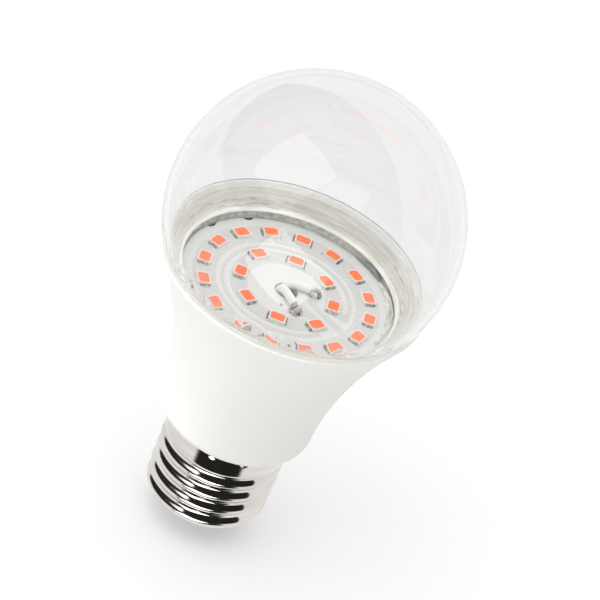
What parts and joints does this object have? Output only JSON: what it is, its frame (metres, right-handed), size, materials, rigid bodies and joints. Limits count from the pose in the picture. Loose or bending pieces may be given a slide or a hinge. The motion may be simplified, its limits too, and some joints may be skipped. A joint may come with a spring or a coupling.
{
  "type": "grow light bulb",
  "caption": "Screw-base LED grow bulb: clear ball globe over a round board of red-toned LEDs, white flared housing, rolled metal screw cap.",
  "frame": {"origin": "the tip of the centre contact, on the bulb's axis", "axes": "+Z along the bulb's axis from the contact to the globe's top; +X through the first outer LED's centre"},
  "size_m": [0.06, 0.06, 0.11],
  "materials": {
    "clear_globe": "clear, gloss",
    "white_plastic": "warm white, satin",
    "drawn_aluminium": "drawn, dull",
    "silicone": "cream, translucent",
    "white_board": "white solder mask, satin",
    "masked_copper": "white solder mask over copper, pale grey",
    "led_frame": "white moulded frame",
    "phosphor": "orange-pink silicone fill",
    "solder": "bright tin",
    "nickel_shell": "nickel plated, bright",
    "black_insulator": "black",
    "contact_metal": "bright",
    "driver_laminate": "bare laminate, green-tan",
    "capacitor_sleeve": "dark sleeve",
    "film_block": "dipped, brown-red",
    "resistor_enamel": "green enamel",
    "ferrite": "dark ferrite",
    "copper_wire": "enamelled copper",
    "chip_black": "black moulding",
    "wire_insulation": "white insulation"
  },
  "bodies": {
    "root": {"base_insulator": "black_insulator", "bridge_rectifier": "chip_black", "bulk_capacitor": "capacitor_sleeve", "centre_contact": "contact_metal", "choke_core": "ferrite", "choke_winding": "copper_wire", "copper_fields": "masked_copper", "driver_board": "driver_laminate", "driver_chip": "chip_black", "film_capacitor": "film_block", "flyback_diode": "chip_black", "fusible_resistor": "resistor_enamel", "globe": "clear_globe", "heat_sink_cup": "drawn_aluminium", "housing": "white_plastic", "led_board": "white_board", "led_inner_01": "led_frame", "led_inner_02": "led_frame", "led_inner_03": "led_frame", "led_inner_04": "led_frame", "led_inner_05": "led_frame", "led_inner_06": "led_frame", "led_inner_07": "led_frame", "led_inner_08": "led_frame", "led_outer_01": "led_frame", "led_outer_02": "led_frame", "led_outer_03": "led_frame", "led_outer_04": "led_frame", "led_outer_05": "led_frame", "led_outer_06": "led_frame", "led_outer_07": "led_frame", "led_outer_08": "led_frame", "led_outer_09": "led_frame", "led_outer_10": "led_frame", "led_outer_11": "led_frame", "led_outer_12": "led_frame", "led_outer_13": "led_frame", "led_outer_14": "led_frame", "led_outer_15": "led_frame", "led_outer_16": "led_frame", "led_terminals": "solder", "live_lead": "wire_insulation", "negative_joint": "solder", "negative_wire": "wire_insulation", "neutral_lead": "wire_insulation", "output_capacitor": "capacitor_sleeve", "phosphor_fills": "phosphor", "positive_joint": "solder", "positive_wire": "wire_insulation", "screw_shell": "nickel_shell", "silicone_seal": "silicone"}
  },
  "joints": []
}
